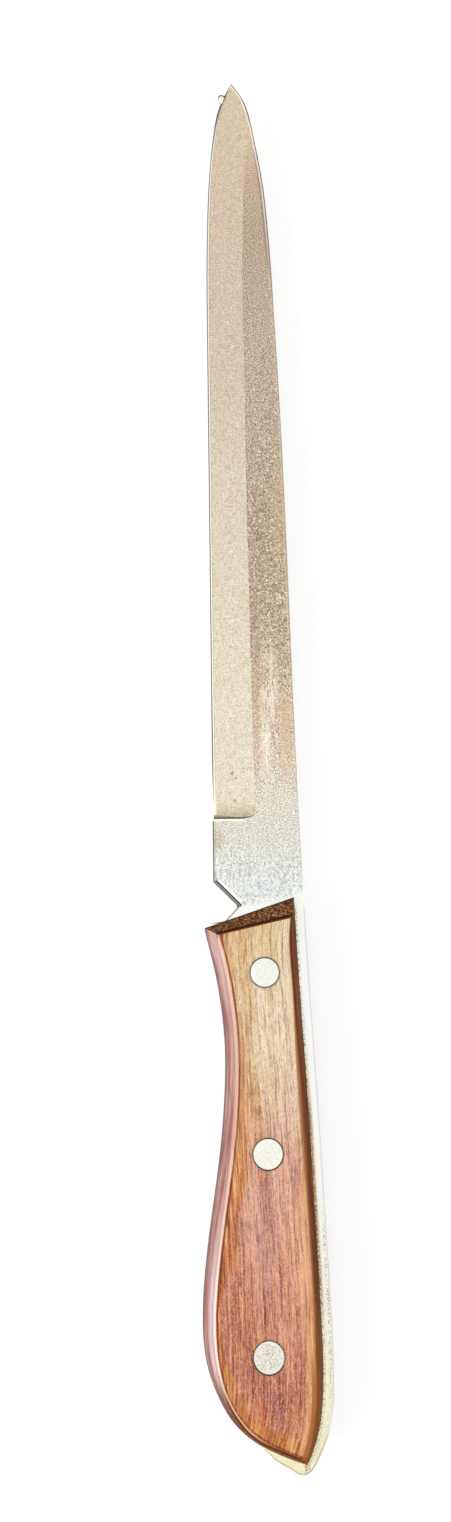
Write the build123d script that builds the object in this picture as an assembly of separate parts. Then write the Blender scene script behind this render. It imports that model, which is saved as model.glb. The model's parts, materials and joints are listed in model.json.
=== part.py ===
"""A full-tang carving knife: one steel blade and tang, two bevelled wooden scales and
three compression rivets, each made of a sleeve and a stem. It lies on its lower scale.

While it is drawn, X runs from the cutting edge (zero) to the spine, Y from the shoulder,
where the scales begin (zero), to the tip, and Z through the steel, from its middle.
At the end the whole knife is moved, so that the origin is the centre of its footprint.
All sizes are in millimetres."""

import os

from build123d import *

# Blade
blade_length = 214.6
blade_depth = 20.0
steel_thickness = 1.8
tip_thickness = 1.0
ricasso_length = 17.6
hollow_depth = 0.32
hollow_length = 14.6

# Outline of the blade, in shares of blade_depth and blade_length
tip_share = (0.3515, 1.0)
middle_share = (0.0, 0.425)
edge_shares = ((0.0, 0.70), (0.0155, 0.794), (0.0565, 0.874), (0.1225, 0.933), (0.199, 0.967))
spine_shares = (
    (0.434, 0.9882),
    (0.4965, 0.9775),
    (0.6155, 0.934),
    (0.723, 0.8705),
    (0.793, 0.794),
    (0.836, 0.70),
    (0.8815, 0.570),
    (0.9115, 0.446),
    (0.9395, 0.2575),
    (0.9725, 0.0897),
)

# Ground faces along the cutting edge, and the steeper bevel that sharpens it
grind_width_at_heel = 9.4
grind_width_ahead = 9.05
sharpened_width = 0.55
sharpened_thickness = 0.34
edge_thickness = 0.1
plunge_run = 1.3
plunge_radius = 7.2
plunge_curl = 3.3
tip_stations = 12

# Swedge: the narrow bevel along the spine behind the tip
swedge_width = 1.15
swedge_drop = 0.34
swedge_shares = ((0.07, 0.0), (0.11, 0.8), (0.17, 1.0), (0.235, 1.0), (0.265, 0.75), (0.28, 0.0))

# Small burr where the edge was knocked, just behind the tip
burr_thickness = 0.36
burr_shares = ((0.290, 0.9815), (0.234, 0.983), (0.201, 0.9828), (0.182, 0.9804), (0.183, 0.9775),
               (0.192, 0.9742), (0.235, 0.9690))

# Heel, finger notch and guard
heel_length = 3.6
notch_depth = 5.52
notch_setback = 1.93
notch_radius = 0.8
guard_setback = 5.84
guard_lip = 1.25
guard_radius = 0.6
guard_length = 4.73
guard_slope_drop = 0.67
guard_root_radius = 1.5

# Handle
handle_length = 115.1
handle_depth = 26.6

# Outline of the handle, in shares of handle_depth, counted from the spine at the shoulder,
# and of handle_length
tang_spine_shares = (
    (0.021, -0.1345),
    (0.053, -0.295),
    (0.082, -0.4645),
    (0.108, -0.6395),
    (0.1275, -0.793),
    (0.1225, -0.8659),
    (0.0885, -0.9246),
    (-0.0050, -0.9740),
    (-0.0600, -0.9930),
)
butt_share = (-0.1200, -1.0)
butt_shares = ((-0.2150, -0.9911), (-0.3300, -0.9763))
belly_shares = (
    (-0.4565, -0.9497),
    (-0.5606, -0.9327),
    (-0.6626, -0.9090),
    (-0.7485, -0.8770),
    (-0.8463, -0.8157),
    (-0.8722, -0.7473),
    (-0.8489, -0.6649),
    (-0.7880, -0.5640),
    (-0.7207, -0.4609),
    (-0.6797, -0.3553),
    (-0.6729, -0.2860),
    (-0.7083, -0.1919),
    (-0.7504, -0.1360),
    (-0.7895, -0.0986),
)

# Broken edge along the spine and round the butt, in shares of each stretch and of its width
rim_width = 0.4
rim_drop = 0.4
rim_spine_shares = ((0.26, 0.0), (0.3, 1.0), (0.4, 1.0), (0.5, 1.0), (0.6, 1.0), (0.7, 1.0), (0.8, 1.0),
                    (0.9, 1.0))
rim_tang_shares = tuple((share, 1.0) for share in (0.0, 0.1, 0.2, 0.3, 0.4, 0.5, 0.6, 0.7, 0.78, 0.84,
                                                   0.88, 0.91, 0.935, 0.955, 0.97, 0.985))
rim_butt_shares = ((0.0, 1.0), (0.12, 1.0), (0.3, 1.0), (0.5, 1.0), (0.7, 0.8), (0.85, 0.4), (0.97, 0.0))

# Scales: how far the tang shows beside them, and how far their walls lean in
scale_thickness = 6.5
guard_show = 0.87
spine_reveal = 2.2
butt_reveal = 1.5
side_run = 1.6
butt_run = 2.0
front_run_at_belly = 2.15
front_run_at_spine = 3.1
ridge_width = 0.75
ridge_drop = 0.7
ridge_shares = ((0.0, 1.0), (0.2, 0.55), (0.6, 0.15), (1.0, 0.0))
scale_butt_share = 0.983
butt_middle_share = 0.5
inset_shares = (0.08, 0.16, 0.24, 0.32, 0.42, 0.52, 0.62, 0.72, 0.82, 0.91)

# Rivets, placed in the same shares as the handle's outline
rivet_names = ("front", "middle", "rear")
rivet_shares = ((-0.3564, -0.1450), (-0.3594, -0.4644), (-0.3842, -0.7972))
head_diameter = 6.2
head_thickness = 1.2
head_chamfer = 0.14
head_sink = 0.06
head_clearance = 0.11
sleeve_diameter = 4.4
sleeve_bore = 2.9
sleeve_floor = 1.0
shank_clearance = 0.06
press_clearance = 0.01
end_gap = 1.0

overrun = 5.0
half_steel = steel_thickness / 2
half_handle = half_steel + scale_thickness
head_seat = half_handle - head_sink - head_thickness


def on_blade(share):
    """A point of the plan, from its shares of the blade's depth and length."""
    return Vector(share[0] * blade_depth, share[1] * blade_length)


def on_handle(share):
    """A point of the plan, from its shares of the handle's depth and length."""
    return Vector(blade_depth + share[0] * handle_depth, share[1] * handle_length)


def half_thickness(station):
    """Half the steel's thickness: full in the tang, thinner towards the tip."""
    return half_steel + (tip_thickness / 2 - half_steel) * max(station, 0) / blade_length


def inward(tangent):
    """The direction to the right of a tangent. The handle is drawn clockwise."""
    return Vector(tangent.Y, -tangent.X).normalized()


def inset(curve, share, distance):
    """The point at a share of a curve, moved inwards."""
    return curve @ share + inward(curve % share) * distance


shoulder = Vector(blade_depth, 0)
tip = on_blade(tip_share)
edge_points = [on_blade(share) for share in edge_shares] + [tip]
edge_curve = Spline(*edge_points, tangents=((0, 1), edge_points[-1] - edge_points[-2]))
hollow_start = Vector(hollow_depth, ricasso_length)
hollow_end = Vector(0, ricasso_length + hollow_length)
grip_start = on_handle(belly_shares[-1])
guard_corner = Vector(grip_start.X - guard_lip, -guard_setback)
guard_flank = Line(guard_corner, grip_start)
scale_corner = guard_flank @ (guard_show / guard_flank.length)
spine_curve = Spline(tip, *map(on_blade, spine_shares), shoulder)
tang_spine = Spline(shoulder, *map(on_handle, tang_spine_shares), on_handle(butt_share),
                    tangents=(spine_curve % 1, (-1, 0)))
tang_butt = Spline(on_handle(butt_share), *map(on_handle, butt_shares), on_handle(belly_shares[0]),
                   tangents=((-1, 0), on_handle(belly_shares[1]) - on_handle(belly_shares[0])))
belly_curve = Spline(*map(on_handle, belly_shares), scale_corner)


def steel_outline():
    """The plan of the blade and tang as one face."""
    heel = (0, heel_length)
    ricasso = (0, ricasso_length)
    notch = (notch_depth, -notch_setback)
    guard_root = guard_corner + Vector(guard_length, guard_slope_drop)
    edges = [
        Line(ricasso, hollow_start),
        Spline(hollow_start, (hollow_start + hollow_end) / 2, hollow_end, tangents=((0, 1), (0, 1))),
        Line(hollow_end, edge_points[0]),
        edge_curve,
        spine_curve,
        tang_spine,
        tang_butt,
        belly_curve,
        FilletPolyline(scale_corner, guard_corner, guard_root, notch, heel,
                       radius=(guard_radius, guard_root_radius, notch_radius)),
        Line(heel, ricasso),
    ]
    return make_face(Wire.combine([edge for line in edges for edge in line.edges()])[0])


def steel_blank():
    """The plan at full thickness in the tang and tapered from the shoulder to the tip."""
    back, front = -handle_length - overrun, blade_length + overrun
    side = [(back, half_steel), (0, half_steel), (front, half_thickness(front))]
    profile = make_face(Plane.YZ * Polyline(*side, *((y, -z) for y, z in reversed(side)), close=True))
    slab = extrude(profile, amount=blade_depth + handle_depth, both=True)
    return extrude(steel_outline(), amount=steel_thickness, both=True) & slab


def cutter_section(plane, profile):
    """A closed face in a plane across the blade, from its corner points."""
    return plane * make_face(Polyline(*profile, close=True))


def grind_section(point, width):
    """What is ground away above the steel at one place along the edge."""
    half = half_thickness(point.Y)
    lean = (half - sharpened_thickness / 2) / (width - sharpened_width)
    edge_lean = (sharpened_thickness - edge_thickness) / 2 / sharpened_width
    corners = [
        (-overrun, edge_thickness / 2 - edge_lean * overrun),
        (sharpened_width, sharpened_thickness / 2),
        (width + overrun, half + lean * overrun),
        (width + overrun, half + overrun),
        (-overrun, half + overrun),
    ]
    return cutter_section(Plane(origin=point, x_dir=(1, 0, 0), z_dir=(0, -1, 0)), corners)


def plunge_region():
    """Where the grinding wheel reached: its end slopes down and curls up to the spine."""
    levels = []
    for height, shift in ((0, plunge_run), (steel_thickness, -plunge_run)):
        start, end = ricasso_length + shift, blade_length + overrun
        side = grind_width_at_heel - plunge_curl + plunge_radius - shift
        corners = ((-overrun, start), (side, start), (side, end), (-overrun, end))
        outline = FilletPolyline(*corners, radius=(0, plunge_radius, 0, 0), close=True)
        levels.append(make_face(Pos(0, 0, height) * outline))
    return loft(levels, ruled=True)


def grind_cutter():
    """The steel that the grinding took off the upper side."""
    heel_places = [hollow_start - Vector(0, overrun), hollow_start, hollow_end]
    beyond = tip + (edge_curve % 1) * overrun
    tip_places = [edge_curve @ (index / tip_stations) for index in range(tip_stations + 1)]
    sections = [grind_section(place, grind_width_at_heel) for place in heel_places]
    for place in [on_blade(middle_share), *tip_places, beyond]:
        sections.append(grind_section(place, grind_width_ahead))
    return loft(sections, ruled=True) & plunge_region()


def bevel_section(curve, share, width, lean, reach):
    """A section of what a bevel takes off the upper side of an outline's edge."""
    point, tangent = curve @ share, curve % share
    half = half_thickness(point.Y)
    corners = [(width + reach, half + lean * reach), (-reach, half - lean * (width + reach)),
               (-reach, half + reach), (width + reach, half + reach)]
    return cutter_section(Plane(origin=point, x_dir=inward(tangent), z_dir=tangent), corners)


def swedge_cutter():
    """The whole swedge on the upper side."""
    sections = [bevel_section(spine_curve, share, swedge_width * width_share,
                              swedge_drop / swedge_width, overrun)
                for share, width_share in swedge_shares]
    return loft(sections, ruled=True)


def rim_cutter():
    """The broken edge on the upper side, from behind the swedge round to the belly."""
    stretches = ((spine_curve, rim_spine_shares), (tang_spine, rim_tang_shares),
                 (tang_butt, rim_butt_shares))
    sections = [bevel_section(curve, share, rim_width * width_share, rim_drop / rim_width, 2 * rim_width)
                for curve, shares in stretches for share, width_share in shares]
    return loft(sections)


def burr():
    """The bit of edge that was knocked over."""
    points = [on_blade(share) for share in burr_shares]
    outline = Wire([Spline(*points), Line(points[-1], points[0])])
    return extrude(make_face(outline), amount=burr_thickness / 2, both=True)


def rivet_places():
    """The three rivet centres in plan."""
    return [on_handle(share) for share in rivet_shares]


def rivet_holes(diameter, bottom, top):
    """A round hole at each rivet, from one height to another."""
    hole = Cylinder(diameter / 2, top - bottom, align=(Align.CENTER, Align.CENTER, Align.MIN))
    return [Pos(place.X, place.Y, bottom) * hole for place in rivet_places()]


def blade_and_tang():
    """The one piece of steel: blade, notch, guard and tang."""
    steel = steel_blank()
    for cutter in (grind_cutter(), swedge_cutter(), rim_cutter()):
        steel -= [cutter, mirror(cutter, about=Plane.XY)]
    steel -= rivet_holes(sleeve_diameter + 2 * shank_clearance, -half_handle, half_handle)
    return steel + burr()


def scale_walls():
    """The four sides of a scale's seat, clockwise: spine side, butt, belly and front."""
    spine_side = Spline(*(inset(tang_spine, share, spine_reveal) for share in (0, *inset_shares)),
                        inset(tang_spine, scale_butt_share, butt_reveal))
    butt = Spline(spine_side @ 1, inset(tang_butt, butt_middle_share, butt_reveal), belly_curve @ 0)
    return [spine_side, butt, belly_curve, Line(belly_curve @ 1, spine_side @ 0)]


def leaned_in(walls, runs):
    """The walls' outline with each wall moved in by its run at its start and at its end."""
    corners = []
    for index, wall in enumerate(walls):
        ahead, behind = inward(wall % 0), inward(walls[index - 1] % 1)
        shift = behind * runs[index - 1][1] + ahead * runs[index][0]
        corners.append(wall @ 0 + shift / (1 + behind.dot(ahead)))
    spine_side, butt, belly, front = (
        [start, *(inset(wall, share, run[0]) for share in shares), end]
        for wall, run, shares, start, end in zip(
            walls, runs, (inset_shares, [butt_middle_share], inset_shares, []),
            corners, corners[1:] + corners[:1])
    )
    return [Spline(*spine_side), Spline(*butt), Spline(*belly), Line(*front)]


def blank_scale():
    """A scale with leaning walls and a soft ridge round its face, with no holes yet."""
    walls = scale_walls()
    runs = ((side_run, side_run), (butt_run, butt_run), (side_run, side_run),
            (front_run_at_belly, front_run_at_spine))
    levels = [(half_steel, walls)]
    for width_share, drop_share in ridge_shares:
        extra = ridge_width * width_share
        outline = leaned_in(walls, [(start + extra, end + extra) for start, end in runs])
        levels.append((half_handle - ridge_drop * drop_share, outline))
    return loft([make_face(Pos(0, 0, height) * Wire(edges)) for height, edges in levels], ruled=True)


def upper_scale():
    """The scale on the upper side, with its rivet holes and the recesses for the heads."""
    scale = blank_scale()
    scale -= rivet_holes(sleeve_diameter + 2 * shank_clearance, 0, half_handle + overrun)
    scale -= rivet_holes(head_diameter + 2 * head_clearance, head_seat, half_handle + overrun)
    return scale


def rivet_head():
    """A flat round head with its underside at height zero and a broken edge on top."""
    head = Cylinder(head_diameter / 2, head_thickness, align=(Align.CENTER, Align.CENTER, Align.MIN))
    return chamfer(head.edges().group_by(Axis.Z)[-1], head_chamfer)


def rivet_sleeve():
    """The hollow half of a rivet: its head is on the upper side, its tube points down."""
    tube_length = 2 * head_seat - end_gap
    top = (Align.CENTER, Align.CENTER, Align.MAX)
    tube = Pos(0, 0, head_seat) * Cylinder(sleeve_diameter / 2, tube_length, align=top)
    bore_top = head_seat - sleeve_floor
    bore = Pos(0, 0, bore_top) * Cylinder(sleeve_bore / 2, tube_length + overrun, align=top)
    return Pos(0, 0, head_seat) * rivet_head() + tube - bore


def rivet_stem():
    """The solid half of a rivet: its head is on the lower side, its shank fills the sleeve."""
    shank_length = 2 * head_seat - sleeve_floor - end_gap
    shank = Cylinder(sleeve_bore / 2 - press_clearance, shank_length,
                     align=(Align.CENTER, Align.CENTER, Align.MIN))
    head = mirror(rivet_head(), about=Plane.XY)
    return Pos(0, 0, -head_seat) * (head + shank)


def knife():
    """Every piece by name, where it belongs."""
    upper = upper_scale()
    pieces = {
        "blade_and_tang": blade_and_tang(),
        "upper_handle_scale": upper,
        "lower_handle_scale": mirror(upper, about=Plane.XY),
    }
    for name, place in zip(rivet_names, rivet_places()):
        pieces[name + "_rivet_sleeve"] = Pos(place.X, place.Y) * rivet_sleeve()
        pieces[name + "_rivet_stem"] = Pos(place.X, place.Y) * rivet_stem()
    return pieces


def export(pieces):
    """Move the knife over its footprint's centre and write each piece."""
    solids = [solid for piece in pieces.values() for solid in piece.solids()]
    box = Compound(children=solids).bounding_box()
    centre = Pos(-box.center().X, -box.center().Y, -box.min.Z)
    os.makedirs("parts", exist_ok=True)
    for name, piece in pieces.items():
        export_step(centre * piece, f"parts/{name}.step")
    print("moved by", centre.position, "size", box.size)


export(knife())
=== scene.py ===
"""The looks of a full-tang carving knife: satin steel with a paler ground bevel, lacquered
rosewood scales and pale aluminium rivets, on a white table in soft light.

The frame and every piece are in metres. Patterns are worked out in the knife's own millimetres:
X runs from the cutting edge to the spine, Y from the shoulder to the tip and Z up from the
steel's middle. A share is a number from 0 to 1 that says how much of something shows."""

import json
import math
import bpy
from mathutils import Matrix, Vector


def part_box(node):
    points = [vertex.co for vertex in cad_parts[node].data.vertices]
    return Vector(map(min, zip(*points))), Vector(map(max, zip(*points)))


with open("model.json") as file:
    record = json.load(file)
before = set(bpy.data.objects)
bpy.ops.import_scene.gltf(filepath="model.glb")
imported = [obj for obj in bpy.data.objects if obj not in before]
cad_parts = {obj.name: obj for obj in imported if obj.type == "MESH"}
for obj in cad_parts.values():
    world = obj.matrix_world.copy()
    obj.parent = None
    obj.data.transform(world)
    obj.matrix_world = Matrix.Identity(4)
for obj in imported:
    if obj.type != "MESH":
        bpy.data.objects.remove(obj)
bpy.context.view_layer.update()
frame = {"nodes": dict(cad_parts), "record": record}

from types import SimpleNamespace

import bpy
from mathutils import Euler, Matrix, Vector

nodes = frame["nodes"]

# The knife's own place in the frame, in metres
handle_length = 0.1151
belly_overhang = 0.0032
blade_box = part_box("blade_and_tang")
shoulder_y = blade_box[0].y + handle_length
edge_x = blade_box[0].x + belly_overhang
steel_middle_z = (blade_box[0].z + blade_box[1].z) / 2
knife_origin = Vector((edge_x, shoulder_y, steel_middle_z))
MM = 1000

# How outlines are read from the meshes, in metres, millimetres and points
height_slack = 0.00001
end_slack = 0.2
curve_points = 25

# The upper scale's bottom and top in metres, and where its outlines end along the knife
scale_low, scale_top = (corner.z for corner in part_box("upper_handle_scale"))
face_butt = -109.9
face_belly_corner = -10.2
face_spine_corner = -5.8
scale_butt = -112.8
scale_shoulder = -0.5

# Lines of the blade: its edge's height in metres, and in millimetres the ricasso's straight edge,
# where the grind starts, the lines x = slope · y + offset of the heel and of the notch's lip, and
# how far the wood's front slants
edge_height = 0.00005
ricasso_edge = [(3.6, 0.0), (17.2, 0.0)]
grind_start = 17.4
heel_slope = -1.0
heel_offset = 3.6
lip_slope = 0.94
lip_offset = 7.34
wood_slant = 0.226

white = (1, 1, 1, 1)


# Camera and light

# The photograph was taken by hand from above the handle, tilted towards the tip
camera_place = Vector((-0.016458, -0.07715, 0.26137))
camera_turn = Euler((math.radians(13), math.radians(-2), math.radians(-0.347)), "YXZ")
sensor = 36
lens = 27.06

# A window on the left, a little behind the handle, and a weaker lamp on the ceiling
window_place = (-0.75, -0.32, 0.55)
window_size = 0.5
window_power = 6
ceiling_place = (-0.1, 0.0, 1.1)
ceiling_size = 0.8
ceiling_power = 2.4
fill_strength = 0.45

# The table's white is partly paint, which takes the shadow, and partly a glow
floor_size = 6
floor_paint = 0.3
floor_glow_near = 0.8
floor_glow_far = 0.87
floor_near = 0.25
floor_far = 0.7


def make_camera():
    """The photograph's camera."""
    data = bpy.data.cameras.new("camera")
    data.sensor_fit = "VERTICAL"
    data.sensor_height = data.sensor_width = sensor
    data.lens = lens
    data.clip_start = 0.01
    camera = bpy.data.objects.new("camera", data)
    camera.matrix_world = Matrix.Translation(camera_place) @ camera_turn.to_matrix().to_4x4()
    bpy.context.scene.collection.objects.link(camera)
    bpy.context.scene.camera = camera


def make_lamp(name, place, size, power, shines):
    """A soft square lamp that looks at the knife. Without shines, gloss doesn't show it."""
    data = bpy.data.lights.new(name, "AREA")
    data.size = size
    data.energy = power
    lamp = bpy.data.objects.new(name, data)
    turn = (-Vector(place)).to_track_quat("-Z", "Y")
    lamp.matrix_world = Matrix.Translation(place) @ turn.to_matrix().to_4x4()
    lamp.visible_glossy = shines
    bpy.context.scene.collection.objects.link(lamp)


# Tools for the finishes

def linear(code):
    """The linear colour of an sRGB hex code."""
    values = [int(code[i:i + 2], 16) / 255 for i in (1, 3, 5)]
    return [v / 12.92 if v <= 0.04045 else ((v + 0.055) / 1.055) ** 2.4 for v in values] + [1]


def add(tree, kind, links=None, **settings):
    """A new node with its settings, and with its inputs set to values or linked to outputs."""
    node = tree.nodes.new(kind)
    for name, value in settings.items():
        setattr(node, name, value)
    for socket, value in (links or {}).items():
        if isinstance(value, bpy.types.Node):
            value = next(output for output in value.outputs if output.enabled)
        if isinstance(value, bpy.types.NodeSocket):
            tree.links.new(value, node.inputs[socket])
        else:
            node.inputs[socket].default_value = value
    return node


def new_material(name):
    """An empty node material and its tree."""
    material = bpy.data.materials.new(name)
    material.use_nodes = True
    material.node_tree.nodes.clear()
    return material, material.node_tree


def share(tree, *factors):
    """Several factors multiplied. A factor is a number, an output, or (value, low, high), which
    changes smoothly from 0 where the value is low to 1 where it is high, or between two numbers
    that follow."""
    total = None
    for factor in factors:
        if isinstance(factor, tuple):
            value, low, high, start, end = factor if len(factor) == 5 else (*factor, 0.0, 1.0)
            factor = add(tree, "ShaderNodeMapRange", {0: value, 1: low, 2: high, 3: start, 4: end},
                         interpolation_type="SMOOTHSTEP")
        if total is None:
            total = factor
        else:
            total = add(tree, "ShaderNodeMath", {0: total, 1: factor}, operation="MULTIPLY")
    return total


def painted(tree, colour, paint, *factors):
    """A colour with a paint over it, as far as the factors' share goes. Either may be a hex code."""
    colour, paint = (linear(c) if isinstance(c, str) else c for c in (colour, paint))
    return add(tree, "ShaderNodeMix", {0: share(tree, *factors), 6: colour, 7: paint},
               data_type="RGBA").outputs[2]


def veined(tree, colour, pattern, dark, pale, *factors):
    """A colour darkened where a pattern is low and paled where it is high, as far as the factors
    say. Each of the two is (where it is full, how much, paint)."""
    for limit, amount, paint in (dark, pale):
        colour = painted(tree, colour, paint, (pattern, 0.5, limit, 0, amount), *factors)
    return colour


def band(tree, value, low, high, soft):
    """One where a value is between low and high, fading out over the soft distance outside."""
    return share(tree, (value, low - soft, low), (value, high + soft, high))


def patch(tree, place, centre, size, soft=0.8):
    """One at a centre on the knife's flat, fading out at an ellipse of half-lengths size."""
    away = add(tree, "ShaderNodeVectorMath", {0: place, 1: (*centre, 0.0)}, operation="SUBTRACT")
    parts = add(tree, "ShaderNodeVectorMath", {0: away, 1: (1 / size[0], 1 / size[1], 0.0)},
                operation="MULTIPLY")
    length = add(tree, "ShaderNodeVectorMath", {0: parts}, operation="LENGTH").outputs["Value"]
    return share(tree, (length, 1.0, 1.0 - soft))


def tones(tree, value, stops):
    """A colour that changes with a value through stops of (value, sRGB hex code)."""
    low, high = stops[0][0], stops[-1][0]
    along = add(tree, "ShaderNodeMapRange", {0: value, 1: low, 2: high})
    ramp = add(tree, "ShaderNodeValToRGB", {0: along})
    elements = ramp.color_ramp.elements
    while len(elements) < len(stops):
        elements.new(1)
    for element, (stop, code) in zip(elements, stops):
        element.position = (stop - low) / (high - low)
        element.color = linear(code)
    return ramp.outputs["Color"]


def mottling(tree, place, size, detail, roughness, seed):
    """Uneven values round 0.5, in patches of a size in millimetres, given for X, Y and Z."""
    scaled = add(tree, "ShaderNodeVectorMath", {0: place, 1: [1 / length for length in size]},
                 operation="MULTIPLY")
    return add(tree, "ShaderNodeTexNoise",
               {"Vector": scaled, "W": seed, "Scale": 1.0, "Detail": detail, "Roughness": roughness},
               noise_dimensions="4D")


def shaken(tree, place, size, amount, seed):
    """A place moved a little at random, so that what is drawn there has an uneven rim."""
    stir = mottling(tree, place, size, 2.0, 0.5, seed).outputs["Color"]
    centred = add(tree, "ShaderNodeVectorMath", {0: stir, 1: (0.5, 0.5, 0.5)}, operation="SUBTRACT")
    moved = add(tree, "ShaderNodeVectorMath", {0: centred, 1: amount}, operation="MULTIPLY")
    return add(tree, "ShaderNodeVectorMath", {0: place, 1: moved})


# Where a point is on the knife

def whereabouts(tree):
    """A point's place in the knife's own millimetres, as one vector and as X, Y and Z, its height
    above or below the steel's middle, which way its surface faces, and how flat that lies."""
    coordinates = add(tree, "ShaderNodeTexCoord").outputs
    shift = add(tree, "ShaderNodeVectorMath", {0: coordinates["Object"], 1: knife_origin},
                operation="SUBTRACT")
    place = add(tree, "ShaderNodeVectorMath", {0: shift, "Scale": MM}, operation="SCALE")
    x, y, z = add(tree, "ShaderNodeSeparateXYZ", {0: place}).outputs[:3]
    face_x, face_y, face_z = add(tree, "ShaderNodeSeparateXYZ",
                                 {0: coordinates["Normal"]}).outputs[:3]
    height, lying = (add(tree, "ShaderNodeMath", {0: value}, operation="ABSOLUTE")
                     for value in (z, face_z))
    return SimpleNamespace(place=place, x=x, y=y, z=z, face_x=face_x, face_y=face_y,
                           height=height, lying=lying)


def crossings(mesh, station, height=None):
    """Where across the knife, in millimetres, a mesh's edges cross a station, at a height or any."""
    level = shoulder_y + station / MM
    found = []
    for edge in mesh.edges:
        first, second = (mesh.vertices[index].co for index in edge.vertices)
        flat = height is None or max(abs(first.z - height), abs(second.z - height)) < height_slack
        if flat and (first.y - level) * (second.y - level) < 0:
            part = (level - first.y) / (second.y - first.y)
            found.append((first.x + (second.x - first.x) * part - edge_x) * MM)
    return found


def outline(name, side, height=None, ends=None):
    """Stations along the knife, and where one side of a piece's outline crosses each, in millimetres.
    The outline is the one at a height, or else the widest."""
    mesh = nodes[name].data
    reach = [(vertex.co.y - shoulder_y) * MM for vertex in mesh.vertices
             if height is None or abs(vertex.co.z - height) < height_slack]
    low, high = ends or (min(reach) + end_slack, max(reach) - end_slack)
    turns = [math.pi * index / (curve_points - 1) for index in range(curve_points)]
    stations = [low + (high - low) * (1 - math.cos(turn)) / 2 for turn in turns]
    met = [(station, crossings(mesh, station, height)) for station in stations]
    return [(station, side(found)) for station, found in met if found]


def along_curve(tree, y, stations, values):
    """A smooth curve of values in millimetres against the place along the knife."""
    low, high = min(values), max(values)
    reach = stations[-1] - stations[0]
    along = add(tree, "ShaderNodeMapRange", {0: y, 1: stations[0], 2: stations[-1]})
    curve = add(tree, "ShaderNodeFloatCurve", {"Value": along})
    line = curve.mapping.curves[0]
    places = [((station - stations[0]) / reach, (value - low) / (high - low))
              for station, value in zip(stations, values)]
    for place in places[1:-1]:
        line.points.new(*place)
    line.points[0].location, line.points[-1].location = places[0], places[-1]
    curve.mapping.update()
    return add(tree, "ShaderNodeMapRange", {0: curve, 3: low, 4: high})


def gap_inside(tree, at, side, points):
    """How far, in millimetres, a point lies inside one side of an outline."""
    stations, values = zip(*points)
    across = along_curve(tree, at.y, stations, values)
    inner, outer = (at.x, across) if side is min else (across, at.x)
    gap = add(tree, "ShaderNodeMath", {0: inner, 1: outer}, operation="SUBTRACT")
    pairs = zip(stations, stations[1:], values, values[1:])
    slants = [(b - a) / math.hypot(b - a, d - c) for a, b, c, d in pairs]
    return share(tree, gap, along_curve(tree, at.y, stations[1:], slants))


def past_line(tree, at, slope, offset):
    """How far, in millimetres, a point lies past the line x = slope · y + offset, towards +X."""
    across = add(tree, "ShaderNodeVectorMath", {0: at.place, 1: (1, -slope, 0)},
                 operation="DOT_PRODUCT").outputs["Value"]
    gap = add(tree, "ShaderNodeMath", {0: across, 1: offset}, operation="SUBTRACT")
    return share(tree, gap, 1 / math.hypot(1, slope))


def rivet_distance(tree, at):
    """How far, in millimetres, a point is from the axis of the nearest rivet."""
    flat = add(tree, "ShaderNodeCombineXYZ", {0: at.x, 1: at.y})
    nearest = None
    for name in ("front_rivet_sleeve", "middle_rivet_sleeve", "rear_rivet_sleeve"):
        low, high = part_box(name)
        centre = ((low + high) / 2 - knife_origin) * MM
        distance = add(tree, "ShaderNodeVectorMath", {0: flat, 1: (centre.x, centre.y, 0.0)},
                       operation="DISTANCE").outputs["Value"]
        if nearest is None:
            nearest = distance
        else:
            nearest = add(tree, "ShaderNodeMath", {0: nearest, 1: distance}, operation="MINIMUM")
    return nearest


# Room

def seen_by_camera_or_gloss(tree):
    """One for the rays that show a background: camera, glossy and transmission rays."""
    path = add(tree, "ShaderNodeLightPath").outputs
    seen = path["Is Camera Ray"]
    for ray in ("Is Glossy Ray", "Is Transmission Ray"):
        seen = add(tree, "ShaderNodeMath", {0: seen, 1: path[ray]}, operation="MAXIMUM")
    return seen


def make_world():
    """White where the camera and gloss see it, and a soft fill for everything else."""
    world = bpy.data.worlds.new("white_room")
    bpy.context.scene.world = world
    world.use_nodes = True
    tree = world.node_tree
    tree.nodes.clear()
    seen = seen_by_camera_or_gloss(tree)
    strength = add(tree, "ShaderNodeMapRange", {0: seen, 3: fill_strength, 4: 1.0})
    light = add(tree, "ShaderNodeBackground", {"Strength": strength, "Color": white})
    add(tree, "ShaderNodeOutputWorld", {"Surface": light})


def make_floor():
    """A white table top that keeps the knife's shadow."""
    bpy.ops.mesh.primitive_plane_add(size=floor_size)
    floor = bpy.context.object
    floor.name = "floor"
    material, tree = new_material("white_table")
    coordinates = add(tree, "ShaderNodeTexCoord")
    distance = add(tree, "ShaderNodeVectorMath", {0: coordinates.outputs["Object"]},
                   operation="LENGTH").outputs["Value"]
    glow = share(tree, (distance, floor_near, floor_far, floor_glow_near, floor_glow_far),
                 seen_by_camera_or_gloss(tree))
    light = add(tree, "ShaderNodeEmission", {"Color": white, "Strength": glow})
    paint = add(tree, "ShaderNodeBsdfDiffuse", {"Color": (floor_paint, floor_paint, floor_paint, 1)})
    both = add(tree, "ShaderNodeAddShader", {0: light, 1: paint})
    add(tree, "ShaderNodeOutputMaterial", {"Surface": both})
    floor.data.materials.append(material)


# Wood

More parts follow.
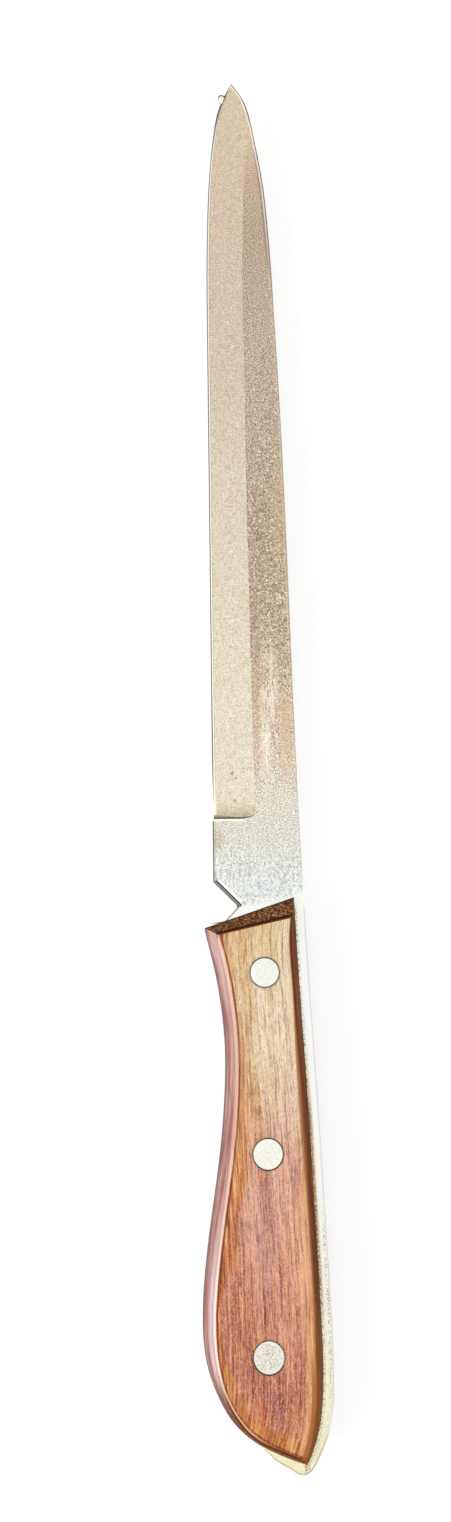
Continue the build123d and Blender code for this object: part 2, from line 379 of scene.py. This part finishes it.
def board_colour(tree, at):
    """The board's colours along the handle, redder and paler in bands along the grain. The pale
    golden front and its pale patches are partly the wood's tone and partly a painted highlight.
    """
    colour = tones(tree, at.y, [
        (-112, "#CC8A5C"), (-106, "#CE825C"), (-100, "#C27862"), (-91, "#CC846E"), (-82, "#E09E86"),
        (-63, "#F6C8B4"), (-52, "#F2C6AE"), (-43, "#F6DCC2"), (-33, "#FDEFDA"), (-24, "#FDF0DA"),
        (-12, "#F7DCB6"), (-7, "#F0CA9E"),
    ])
    bands = mottling(tree, at.grain, (2.4, 46, 5), 3.0, 0.6, 2.0)
    darker = painted(tree, "#A44A3C", "#D8A868", at.golden)
    paler = painted(tree, "#E2AC8C", "#FFF0D8", at.golden)
    colour = veined(tree, colour, bands, (0.37, 0.62, darker), (0.63, 0.6, paler))
    colour = painted(tree, colour, "#D48C4C", (at.from_belly, 8, 1), (at.y, -75, -45),
                     (at.y, -44, -26, 0.5, 0.3))
    colour = painted(tree, colour, "#F6E4C4", (at.from_spine, 9, 2), at.golden, 0.35)
    for centre, size, soft, amount, paint in (
            ((10.0, -70), (4.5, 17), 0.8, 0.4, "#B48C88"),
            ((15, -44), (7, 15), 1.0, 0.6, "#FADACA"),
            ((14, -55), (4.5, 10), 1.0, 0.5, "#FCD4C4"),
            ((14.5, -86), (5, 16), 1.0, 0.5, "#E8AC94"),
            ((2.5, -84), (6, 20), 1.0, 0.5, "#AC5444"),
            ((11.5, -99), (3.5, 8), 0.8, 0.75, "#95484E"),
            ((8.2, -102.5), (1.8, 5), 0.8, 0.55, "#D2503E")):
        colour = painted(tree, colour, paint, patch(tree, at.place, centre, size, soft), amount)

    # Small clouds of yellow and rose in the golden part, of orange and purple behind it
    clouds = mottling(tree, at.grain, (0.7, 2.6, 1), 3.0, 0.65, 23.0)
    warm = painted(tree, "#F2A070", "#FBDF92", at.golden)
    cold = painted(tree, "#A8647C", "#D2967C", at.golden)
    return veined(tree, colour, clouds, (0.36, 0.4, cold), (0.64, 0.44, warm))


def worn_face(tree, at, colour):
    """Orange along the edges of the face where it was sanded thin, then the fine grain."""
    worn_belly = along_curve(tree, at.y, [-110, -100, -88, -75, -62, -48, -30, -8],
                             [2.2, 2.6, 1.4, 2.4, 3.0, 2.4, 1.8, 1.4])
    worn_spine = along_curve(tree, at.y, [-110, -100, -88, -72, -58, -45, -30, -8],
                             [1.2, 1.6, 1.8, 1.7, 0.9, 0.6, 0.4, 0.4])
    stir = mottling(tree, at.place, (1.2, 9, 2), 3.0, 0.6, 5.0)
    wander = share(tree, add(tree, "ShaderNodeMath", {0: stir, 1: 0.5}, operation="SUBTRACT"), 5.0)
    insides = []
    for gap, worn in ((at.from_belly, worn_belly), (at.from_spine, worn_spine)):
        shifted = add(tree, "ShaderNodeMath", {0: gap, 1: wander}, operation="ADD")
        insides.append(add(tree, "ShaderNodeMath", {0: shifted, 1: worn}, operation="SUBTRACT"))
    streaks = mottling(tree, at.grain, (0.5, 9, 1), 3.0, 0.65, 6.0)
    amber = tones(tree, streaks, [(0.36, "#742C10"), (0.44, "#B25626"), (0.5, "#CE7A38"),
                                  (0.57, "#E49C56"), (0.66, "#F8D292")])
    front_amber = painted(tree, amber, "#F0C8A0", at.golden, 0.35)
    paler_amber = painted(tree, amber, "#FFD2A4", 0.42)
    colour = painted(tree, colour, front_amber, (insides[0], 0.5, -0.5, 0, 0.85))
    colour = painted(tree, colour, paler_amber, (insides[1], 0.5, -0.5, 0, 0.9))
    colour = painted(tree, colour, "#FFC4A0", (at.from_spine, 5.5, 3), band(tree, at.y, -76, -66, 9),
                     0.6)
    colour = painted(tree, colour, "#FFEED6", (at.from_spine, 2.4, 0.8), at.golden, 0.6)
    colour = painted(tree, colour, "#C04E20", patch(tree, at.place, (0.5, -10.0), (1.5, 3.0)))

    # Lines of the grain, pores and pale flecks, drawn at 0.2 to 0.4 mm, coarser than they are
    flecks = mottling(tree, at.grain, (0.2, 0.42, 0.3), 2.0, 0.6, 9.0)
    dark_line = painted(tree, "#6E2418", "#965A28", at.golden)
    pale_line = painted(tree, "#FFCA9C", "#FFF2C4", at.golden)
    inmost = add(tree, "ShaderNodeMath", dict(enumerate(insides)), operation="MINIMUM")
    away_from_edges = share(tree, (inmost, -0.5, 0.5, 0.6, 1))
    for pattern, dark, pale in ((at.lines, 0.8, 0.64), (at.pores, 0.45, 0.3), (flecks, 0.4, 0.4)):
        colour = veined(tree, colour, pattern, (0.33, dark, dark_line), (0.67, pale, pale_line),
                        away_from_edges)
    # A dark line just inside the pale belly rim, a painted dark reflection beside its painted highlight
    return painted(tree, colour, "#83381C", band(tree, at.from_rim, 0.08, 0.3, 0.16),
                   (at.lines, 0.6, 0.45, 0.5, 0.95))


def narrow_bevel(tree, at, colour):
    """The narrow bevel round the face, pale on the belly side, partly where the lacquer wore off its
    edge and partly a painted highlight.
    """
    bevel = tones(tree, at.y, [
        (-111, "#6C3C1C"), (-104, "#94582F"), (-98, "#CC9A80"), (-84, "#F0CEC6"), (-72, "#E0B4A6"),
        (-50, "#DAA894"), (-30, "#E2B8AA"), (-6, "#F0D0C6"),
    ])
    bevel = painted(tree, bevel, "#B98A84", (at.from_belly, -0.35, -0.6))
    bevel = painted(tree, bevel, "#44220E", (at.from_belly, -0.15, -0.25), at.near_butt, 0.9)
    spine_bevel = painted(tree, "#B26432", "#DC8848", band(tree, at.y, -86, -62, 8))
    bevel = painted(tree, bevel, spine_bevel, (at.face_x, 0.1, 0.25))
    bevel = painted(tree, bevel, "#6E3C18", (at.face_y, 0.1, 0.25))
    outside = share(tree, (at.from_spine, -0.2, -0.4))
    not_spine = share(tree, (at.face_x, 0.2, 0.1))
    shown = add(tree, "ShaderNodeMath", {0: outside, 1: not_spine}, operation="MAXIMUM")
    colour = painted(tree, colour, bevel, (at.lying, 0.4, 0.55), (at.lying, 0.995, 0.97), shown)

    # The spine edge is rounded over and worn to orange, behind the rear rivet and in front
    farther = share(tree, (at.y, -38, -16, 0, 0.42))
    front_gap = add(tree, "ShaderNodeMath", {0: at.from_spine, 1: farther}, operation="ADD")
    rear_edge = share(tree, (at.from_spine, 0.85, 0.5), (at.y, -88, -97))
    front_edge = share(tree, (front_gap, 0.42, 0.1), (at.y, -62, -42))
    rounded = add(tree, "ShaderNodeMath", {0: rear_edge, 1: front_edge}, operation="MAXIMUM")
    colour = painted(tree, colour, "#A8642F", rounded, (at.lying, 0.9, 0.95), 0.8)

    # The belly edge painted pale: partly rubbed lacquer, partly a painted highlight
    tilted = share(tree, (at.lying, 0.5, 0.7))
    colour = painted(tree, colour, "#FFF0E8", band(tree, at.from_rim, -0.4, -0.12, 0.1), tilted,
                     band(tree, at.y, -92, -58, 9), (at.y, -64, -82, 0.5, 0.95))
    colour = painted(tree, colour, "#F8D4C2", band(tree, at.from_rim, -0.3, -0.08, 0.1), tilted,
                     band(tree, at.y, -54, -14, 6), 0.5)
    return painted(tree, colour, "#F4C090", band(tree, at.from_belly, -0.14, 0.08, 0.1),
                   at.near_butt, (at.y, -109, -104), 0.7)


def leaning_walls(tree, at, colour):
    """Mauve walls on the belly side, partly painted reflection, umber ones on the spine side, darker
    with painted shade, and dark end grain.
    """
    belly = share(tree, at.wall, (at.face_x, -0.4, -0.7))
    spine = share(tree, (at.face_x, 0.3, 0.55))
    front = share(tree, (at.face_y, 0.4, 0.6))
    butt = share(tree, (at.lying, 0.9, 0.8), (at.face_y, -0.35, -0.65))

    # The belly side, its mauve partly painted reflection, with a painted sheen towards the face at
    # the rear and a paler painted highlight at the front
    threads = mottling(tree, at.place, (30, 19, 1.5), 3.0, 0.7, 12.0)
    mauve = tones(tree, threads, [(0.34, "#7C4A4A"), (0.44, "#9E6866"), (0.52, "#B6827C"),
                                  (0.6, "#CCA098"), (0.7, "#E8CCC6")])
    colour = painted(tree, colour, mauve, belly, 0.92)
    colour = painted(tree, colour, "#F0DADE", belly, (at.height, 3.4, 6.2), (at.y, -102, -92),
                     (at.y, -60, -80, 0.1, 0.85))
    colour = painted(tree, colour, "#FFE4DC", belly, (at.height, 2.4, 4.2), (at.y, -30, -14), 0.4)
    colour = painted(tree, colour, "#5E3820", belly, at.near_butt, 0.6)
    colour = painted(tree, colour, "#80727A", belly, (at.height, 2.6, 1.6), 0.8)

    # The spine side, darkened by painted shade, and worn along its top
    umber = tones(tree, at.height, [(0.9, "#8A5A38"), (1.6, "#8E5A34"), (3.8, "#9A5C32"),
                                    (4.6, "#A4602E"), (6.5, "#A8602C"), (7.1, "#AC642E"),
                                    (7.4, "#B87038")])
    colour = painted(tree, colour, umber, spine)
    colour = painted(tree, colour, "#6E3008", spine, band(tree, at.y, -80, -38, 14), 0.5)
    colour = painted(tree, colour, "#DC9054", spine, (at.height, 6.4, 7.2),
                     band(tree, at.y, -82, -40, 9), (at.y, -62, -44, 0.7, 0.5))
    colour = painted(tree, colour, "#6E3412", spine, (at.height, 5.8, 6.8), (at.y, -34, -22), 0.75)
    colour = painted(tree, colour, "#7A3404", spine, band(tree, at.y, -62, -40, 10),
                     (at.height, 6.8, 6.2), 0.4)
    colour = painted(tree, colour, "#A87A44", spine, (at.y, -78, -95), (at.height, 4, 2), 0.5)

    # Lines of the grain along both
    lines = mottling(tree, at.place, (0.7, 16, 0.42), 4.0, 0.72, 15.0)
    colour = painted(tree, colour, "#5A2410", (lines, 0.5, 0.36), at.wall,
                     (at.face_x, -0.6, 0.3, 0.3, 0.5))
    colour = painted(tree, colour, "#E8B08C", (lines, 0.5, 0.64), at.wall, 0.35)

    # End grain at the front, with painted shade at its foot, and the dark wall round the butt
    end_grain = mottling(tree, at.place, (0.6, 0.6, 0.5), 2.0, 0.7, 11.0)
    end_colour = tones(tree, end_grain, [(0.38, "#1C0C04"), (0.47, "#66381A"), (0.55, "#9A6436"),
                                         (0.64, "#D8AC7C")])
    colour = painted(tree, colour, end_colour, front)
    colour = painted(tree, colour, "#22120A", front, (at.height, 1.7, 1.2))
    colour = painted(tree, colour, "#402008", front, (at.height, 6.3, 6.8))
    butt_colour = tones(tree, at.height, [(0.9, "#4A2C18"), (2.6, "#7C5034"), (3.2, "#341A0C"),
                                          (3.8, "#7A4222"), (6.4, "#864C24"), (6.8, "#4C220A"),
                                          (7.3, "#6E3814")])
    colour = painted(tree, colour, butt_colour, butt, 0.9)
    # Painted shade along the foot of every wall, where it meets the steel
    return painted(tree, colour, "#3A1C08", (at.height, 1.2, 0.95, 0, 0.8))


def make_wood():
    """Rosewood under a thin lacquer: red-brown with fine paler and darker lines along the handle,
    golden towards the blade, and orange where it was sanded thin along the face's edges."""
    material, tree = new_material("lacquered_rosewood")
    at = whereabouts(tree)
    belly = outline("upper_handle_scale", min, scale_top, (face_butt, face_belly_corner))
    spine = outline("upper_handle_scale", max, scale_top, (face_butt, face_spine_corner))
    at.from_belly = gap_inside(tree, at, min, belly)
    at.from_spine = gap_inside(tree, at, max, spine)
    # Along most of the handle the pale belly rim, a painted highlight, is moved 0.24 mm in from the
    # edge
    rim = share(tree, band(tree, at.y, -92, -12, 9), 0.24)
    at.from_rim = add(tree, "ShaderNodeMath", {0: at.from_belly, 1: rim}, operation="SUBTRACT")
    at.golden = share(tree, (at.y, -58, -32))
    at.near_butt = share(tree, (at.y, -94, -101))
    at.wall = share(tree, (at.lying, 0.55, 0.4))

    # The grain runs beside the spine
    beside_spine = add(tree, "ShaderNodeCombineXYZ", {0: at.from_spine, 1: at.y, 2: at.z})
    at.grain = shaken(tree, beside_spine, (6, 26, 5), (1.6, 0, 0), 4.0)
    at.lines = mottling(tree, at.grain, (0.42, 15, 0.5), 4.0, 0.72, 3.0)
    at.pores = mottling(tree, at.grain, (0.23, 2.2, 0.3), 2.0, 0.6, 7.0)

    colour = board_colour(tree, at)
    for layer in (worn_face, narrow_bevel, leaning_walls):
        colour = layer(tree, at, colour)

    # A little darkening round each rivet, partly dirt and partly painted shade beside its gap
    colour = painted(tree, colour, "#7A6050", (rivet_distance(tree, at), 3.7, 3.15), 0.45)

    relief = add(tree, "ShaderNodeMath", {0: at.lines, 1: share(tree, at.pores, 0.6)}, operation="ADD")
    bump = add(tree, "ShaderNodeBump", {"Height": relief, "Strength": 0.3, "Distance": 0.0001})
    roughness = share(tree, (at.wall, 0, 1, 0.42, 0.65))

    # The lacquer is worn thin, so it hardly shines
    shader = add(tree, "ShaderNodeBsdfPrincipled",
                 {"Base Color": colour, "Roughness": roughness, "Normal": bump, "IOR": 1.5,
                  "Specular IOR Level": 0.03})
    add(tree, "ShaderNodeOutputMaterial", {"Surface": shader})
    return material


# Steel

def flat_colour(tree, at):
    """The flat and the tang along the knife, with specks, mottling near the wood and nicks. Its
    change from near white on the tang and bluish white at the ricasso to tan on the blade is partly
    the steel's tone and partly painted reflection. The specks are pits of the brushed surface,
    drawn at 0.3 mm, coarser than they are."""
    colour = tones(tree, at.y, [
        (-114, "#F2ECC6"), (-101, "#FFFADC"), (-73, "#FFFDF2"), (-43, "#FFFFFC"), (-10, "#FFFFFC"),
        (3.9, "#E0E4DF"), (11.7, "#DDDCCF"), (22, "#E1DAC9"), (31, "#DACBB0"), (45, "#CEBA9E"),
        (58, "#C1AE96"), (85, "#B5A38C"), (114, "#BEAE99"), (141, "#C1AF9E"), (169, "#B8A58D"),
        (185, "#C8B197"), (196, "#D8C3A8"), (210, "#DBC8AC"),
    ])
    speckled = share(tree, (at.past_wood, -5.4, -2.8))
    stronger = mottling(tree, at.place, (1.4, 2.2, 2), 2.0, 0.6, 2.0)
    calm = share(tree, (at.y, 165, 200, 1.0, 0.45), (stronger, 0.36, 0.64, 0.65, 1.0))
    dark = painted(tree, "#7A6048", "#A39F92", (at.y, 40, 14))
    dark = painted(tree, dark, "#939FA3", (at.y, 12, 2))
    pale = painted(tree, "#F3E3CA", "#FFFFFA", (at.y, 60, 20))
    colour = painted(tree, colour, dark, (at.speckle, 0.51, 0.36), speckled, calm)
    colour = painted(tree, colour, pale, (at.speckle, 0.5, 0.64), speckled, calm)
    mottle = mottling(tree, at.place, (0.7, 0.9, 1), 3.0, 0.65, 24.0)
    colour = veined(tree, colour, mottle, (0.38, 0.45, dark), (0.62, 0.45, "#FFFFFC"),
                    (at.y, 18, 4), speckled)

    # A few bright nicks, more of them towards the handle
    restless = shaken(tree, at.place, (1.5, 1.5, 1.5), (1.2, 1.2, 0), 25.0)
    nicks = mottling(tree, restless, (0.4, 0.75, 0.5), 2.0, 0.55, 26.0)
    crowded = share(tree, (at.y, 150, 30, 0.0, 0.035))
    nicks = add(tree, "ShaderNodeMath", {0: nicks, 1: crowded}, operation="ADD")
    return painted(tree, colour, "#FFF8E8", (nicks, 0.655, 0.7), band(tree, at.y, 24, 185, 8), 0.85)


def stained_flat(tree, at, colour):
    """Tan patches and pale streaks between the grind and the spine."""
    for centre, size, amount, paint in (
            ((10.4, 40), (2.0, 21), at.between_specks, "#CFA482"),
            ((17.0, 37), (2.6, 18), at.between_specks, "#DEB692"),
            ((10.3, 66), (1.8, 20), at.between_specks, "#AA8A72"),
            ((17.5, 92), (4.0, 30), 0.4, "#CDB98C")):
        colour = painted(tree, colour, paint, patch(tree, at.loose, centre, size, 1.0), amount)
    long_lines = mottling(tree, at.place, (1.1, 9, 1), 4.0, 0.7, 5.0)
    fine_lines = mottling(tree, at.place, (0.34, 4.5, 0.5), 3.0, 0.65, 27.0)
    colour = painted(tree, colour, "#FBF4E0", patch(tree, at.loose, (12.4, 34.5), (1.7, 15), 1.0),
                     (at.speckle, 0.3, 0.6, 0.5, 0.9), (fine_lines, 0.42, 0.56, 0.3, 0.95))
    colour = painted(tree, colour, "#FFF8E6", (fine_lines, 0.55, 0.65),
                     patch(tree, at.loose, (13.4, 42), (3.2, 21), 1.0), 0.7)
    return painted(tree, colour, "#FAF2DA", (long_lines, 0.46, 0.62),
                   patch(tree, at.loose, (13.4, 42), (3.4, 25)), 0.8)


def ricasso(tree, at, colour):
    """Scratches, a tan stain at the edge, and white where the wood begins."""
    restless = shaken(tree, at.place, (4, 4, 4), (4, 4, 0), 14.0)
    scratches = mottling(tree, restless, (0.4, 3, 1), 3.0, 0.6, 13.0)
    colour = painted(tree, colour, "#FFFFFC", (scratches, 0.56, 0.65), (at.y, 20, 12),
                     (at.y, -6, -2), 0.75)
    colour = painted(tree, colour, "#B9A07E", patch(tree, at.loose, (1.4, 12.5), (2.0, 4)),
                     at.between_specks)
    return painted(tree, colour, "#FDFDF6", (at.past_wood, -2.6, -5.0), (at.y, -8, -7.5), 0.75)


def ground_bevel(tree, at, colour):
    """Fine lines across the bevel from the wheel, fainter ones along it, and a few spots. The real
    lines are under 0.1 mm wide, and are drawn at about 0.5 mm so that they show."""
    # Darker just past where the grind stops, painted shade below the slope there
    ground = tones(tree, at.y, [
        (18.6, "#AFA482"), (19.8, "#CFC6A8"), (22, "#E6E0CA"), (45, "#E7E1CC"), (70, "#E1D8C2"),
        (95, "#DDD3BD"), (122, "#D5C8B3"), (150, "#D1C0AB"), (178, "#D5C1A8"), (212, "#DCC9AE"),
    ])
    lengthwise = mottling(tree, at.place, (0.45, 1.6, 3), 2.0, 0.6, 17.0)
    grit = mottling(tree, at.place, (0.24, 0.26, 0.3), 1.0, 0.5, 18.0)
    cloud = mottling(tree, at.place, (2.4, 3.2, 3), 2.0, 0.6, 19.0)
    cloudy = painted(tree, "#DACD9C", "#DCBA98", (at.y, 60, 150))
    ground = painted(tree, ground, cloudy, (cloud, 0.45, 0.65, 0, 0.35))
    for pattern, amount in ((at.cross, 0.28), (lengthwise, 0.25), (grit, 0.52)):
        ground = veined(tree, ground, pattern, (0.32, amount, "#A8937A"), (0.68, amount, "#FFF8E6"))
    for centre in ((4.5, 28.2), (5.2, 27.0), (5.1, 21.9)):
        ground = painted(tree, ground, "#7E6C40", patch(tree, at.place, centre, (0.6, 0.7), 1.0),
                         (grit, 0.6, 0.4, 0.3, 1.0))
    return painted(tree, colour, ground, (at.face_x, -0.02, -0.05),
                   (at.y, grind_start, grind_start + 0.2))


def blade_lines(tree, at, colour):
    """The sharpened edge with a painted highlight, painted shade and a bright painted highlight
    where the grind stops, the swedge and the lines of the spine.
    """
    # The sharpened face painted pale, a painted highlight, then a greyer band and a dark line at the
    # edge
    colour = painted(tree, colour, "#FFFDEE", (at.face_x, -0.13, -0.17), at.blade)
    colour = painted(tree, colour, "#A69D84", band(tree, at.from_edge, 0.52, 0.62, 0.12), at.blade, 0.5)
    colour = painted(tree, colour, "#5E5C58", (at.from_edge, 0.34, 0.2), at.blade, 0.9)

    # Where the grind stops: a small slope, darkened along its top by painted shade, and a bright
    # line past it, a painted highlight
    plunge_shade = tones(tree, at.height, [(0.2, "#C4B99A"), (0.55, "#968A6A"), (0.78, "#51472F"),
                                    (0.9, "#332B1C")])
    colour = painted(tree, colour, plunge_shade, (at.lying, 0.93, 0.88), (at.lying, 0.6, 0.7),
                     (at.x, 11, 10), (at.y, grind_start - 0.4, grind_start - 0.1))
    colour = painted(tree, colour, "#FFFDF0",
                     band(tree, at.y, grind_start - 0.25, grind_start + 0.1, 0.08),
                     (at.x, 8.0, 6.5), (at.x, -0.1, 0.2))

    # The swedge, and thin lines along the spine: dark near the tip, pale behind it, the pale one
    # a painted highlight on the spine's edge
    colour = painted(tree, colour, "#A08880", (at.face_x, 0.1, 0.2), (at.y, 148, 152), 0.8)
    colour = painted(tree, colour, "#FDF8EA", band(tree, at.from_back, 0.42, 0.6, 0.2), at.blade,
                     (at.y, 150, 190, 0.2, 0.9), (at.speckle, 0.35, 0.6, 0.6, 1.0))
    colour = painted(tree, colour, "#67625C", (at.from_back, 0.36, 0.18), at.blade,
                     (at.y, 145, 195, 0.15, 1.0), 0.9)

    # The knocked-over bit of edge
    burr = painted(tree, "#66615A", "#FFFAEE", patch(tree, at.place, (4.5, 209.4), (1.0, 1.5), 0.4))
    return painted(tree, colour, burr, (at.from_edge, 0.0, -0.05), (at.y, 200, 204))


def cut_edges(tree, at, colour):
    """The cut edges of the blank, painted darker as shade, and dark bands of painted shade beside
    the heel's slope and the notch, with a pale line past the heel's.
    """
    # The cut walls painted darker grey as painted shade
    colour = painted(tree, colour, "#6C675E", (at.lying, 0.5, 0.3), 0.8)
    # Dark bands of painted shade beside the heel's slope, with a pale line past them
    from_heel = past_line(tree, at, heel_slope, heel_offset)
    slope = share(tree, band(tree, at.y, -2.0, 3.7, 0.2), (at.x, 6.4, 6.0))
    for low, high, paint in ((-1.0, 0.48, "#A39F94"), (0.44, 0.66, "#38352E"),
                             (0.84, 1.2, "#FFFFFB"), (-1.0, 0.12, "#6E6B63")):
        colour = painted(tree, colour, paint, band(tree, from_heel, low, high, 0.1), slope)
    from_lip = past_line(tree, at, lip_slope, lip_offset)
    return painted(tree, colour, "#6A665E", (from_lip, 0.38, 0.2), band(tree, at.y, -5.6, -2.1, 0.2),
                   0.8)


def bare_tang(tree, at, colour):
    """Dark specks along the joint with the wood, cream towards the butt, and a pale rim, with a mauve
    line of painted reflection on the spine side and painted highlight and shade across it at the butt.
    """
    joint = outline("upper_handle_scale", max, scale_low, (scale_butt, scale_shoulder))
    from_joint = gap_inside(tree, at, max, joint)
    beside = share(tree, at.tang, (from_joint, 1.0, 0.5))
    specks = mottling(tree, at.place, (0.28, 0.4, 0.4), 2.0, 0.6, 20.0)
    colour = painted(tree, colour, "#F4E4AC", beside, (from_joint, -1.0, -0.3),
                     band(tree, at.y, -62, -38, 10), 0.6)
    colour = painted(tree, colour, "#847458", beside, (from_joint, -0.7, -0.1),
                     (specks, 0.56, 0.38), 0.85)
    colour = painted(tree, colour, "#9C7444", beside, (from_joint, -0.95, -0.1),
                     band(tree, at.y, -78, -48, 12), (specks, 0.62, 0.46, 0.4, 1.0))
    cream = mottling(tree, at.place, (0.28, 0.36, 0.4), 2.0, 0.6, 21.0)
    colour = painted(tree, colour, "#C9C096", (cream, 0.52, 0.32), (at.y, -50, -95), 0.4)
    colour = painted(tree, colour, "#767067", (specks, 0.54, 0.36), (at.from_back, 1.3, 0.4),
                     (at.y, -60, -75), (at.y, -108, -98), 0.9)
    # The spine-side rim pale, with a mauve line of painted reflection at its outer edge
    colour = painted(tree, colour, "#EFE8EA", (at.face_x, 0.2, 0.4), at.tang, 0.8)
    colour = painted(tree, colour, "#B3A6AC", (at.from_back, 0.2, 0.08), at.tang, 0.6)
    # Across the rim at the butt, dark and pale lines of painted shade and painted highlight
    rim = tones(tree, at.height, [(0.5, "#4A443A"), (0.6, "#8C8470"), (0.66, "#E6E0C8"),
                                  (0.78, "#E6E0C8"), (0.85, "#6A6252"), (0.9, "#A8A088")])
    return painted(tree, colour, rim, (at.face_y, -0.15, -0.35), at.tang)


def make_steel():
    """Satin stainless steel: a brown-grey flat with speckles and pale streaks, a paler bevel ground
    across, a whitish ricasso and a bare tang."""
    material, tree = new_material("satin_stainless_steel")
    at = whereabouts(tree)
    ground_edge = outline("blade_and_tang", min, steel_middle_z + edge_height)
    edge = ricasso_edge + [point for point in ground_edge if point[0] > ricasso_edge[-1][0]]
    at.from_edge = gap_inside(tree, at, min, edge)
    at.from_back = gap_inside(tree, at, max, outline("blade_and_tang", max))
    at.past_wood = add(tree, "ShaderNodeVectorMath", {0: at.place, 1: (-wood_slant, 1, 0)},
                       operation="DOT_PRODUCT").outputs["Value"]
    at.blade = share(tree, (at.y, 3.4, 3.8))
    at.tang = share(tree, (at.y, -1.0, -3.0))
    at.loose = shaken(tree, at.place, (2.5, 8, 3), (3.0, 8, 0), 3.0)
    at.speckle = mottling(tree, at.place, (0.28, 0.32, 0.3), 2.0, 0.55, 1.0)
    at.between_specks = share(tree, (at.speckle, 0.6, 0.4, 0.25, 0.7))
    at.cross = mottling(tree, at.place, (1.1, 0.5, 3), 2.0, 0.6, 16.0)

    colour = flat_colour(tree, at)
    for layer in (stained_flat, ricasso, ground_bevel, blade_lines, cut_edges, bare_tang):
        colour = layer(tree, at, colour)

    relief = add(tree, "ShaderNodeMath", {0: at.cross, 1: at.speckle}, operation="ADD")
    bump = add(tree, "ShaderNodeBump", {"Height": relief, "Strength": 0.15, "Distance": 0.00005})
    roughness = share(tree, (at.speckle, 0.35, 0.65, 0.34, 0.5))
    shader = add(tree, "ShaderNodeBsdfPrincipled",
                 {"Base Color": colour, "Metallic": 1.0, "Roughness": roughness, "Normal": bump})
    add(tree, "ShaderNodeOutputMaterial", {"Surface": shader})
    return material


# Rivets

def make_rivet_metal():
    """Aluminium, ground flush and dull: nearly white, with grey specks, most of them at the rear."""
    material, tree = new_material("dull_aluminium")
    at = whereabouts(tree)
    colour = tones(tree, at.y, [(-92, "#E8E4DA"), (-54, "#EFEEE5"), (-17, "#EFF0E8")])
    specks = mottling(tree, at.place, (0.27, 0.27, 0.3), 2.0, 0.6, 1.0)
    colour = painted(tree, colour, "#B4B0A4", (specks, 0.56, 0.36), (at.y, -54, -90, 0.3, 1.0),
                     (rivet_distance(tree, at), 3.0, 2.3, 0.3, 1.0))
    colour = painted(tree, colour, "#F4F2E6", (specks, 0.54, 0.66, 0, 0.6))
    bump = add(tree, "ShaderNodeBump", {"Height": specks, "Strength": 0.1, "Distance": 0.00005})
    shader = add(tree, "ShaderNodeBsdfPrincipled",
                 {"Base Color": colour, "Metallic": 1.0, "Roughness": 0.5, "Normal": bump})
    add(tree, "ShaderNodeOutputMaterial", {"Surface": shader})
    return material


bpy.context.scene.view_settings.view_transform = "Standard"
make_camera()
make_world()
make_lamp("window", window_place, window_size, window_power, True)
make_lamp("ceiling", ceiling_place, ceiling_size, ceiling_power, False)
make_floor()

finishes = {"blade_steel": make_steel(), "handle_wood": make_wood(), "rivet_metal": make_rivet_metal()}
for part in frame["record"]["subparts"]:
    nodes[part["node"]].data.materials[0] = finishes[part["material_slot"]]
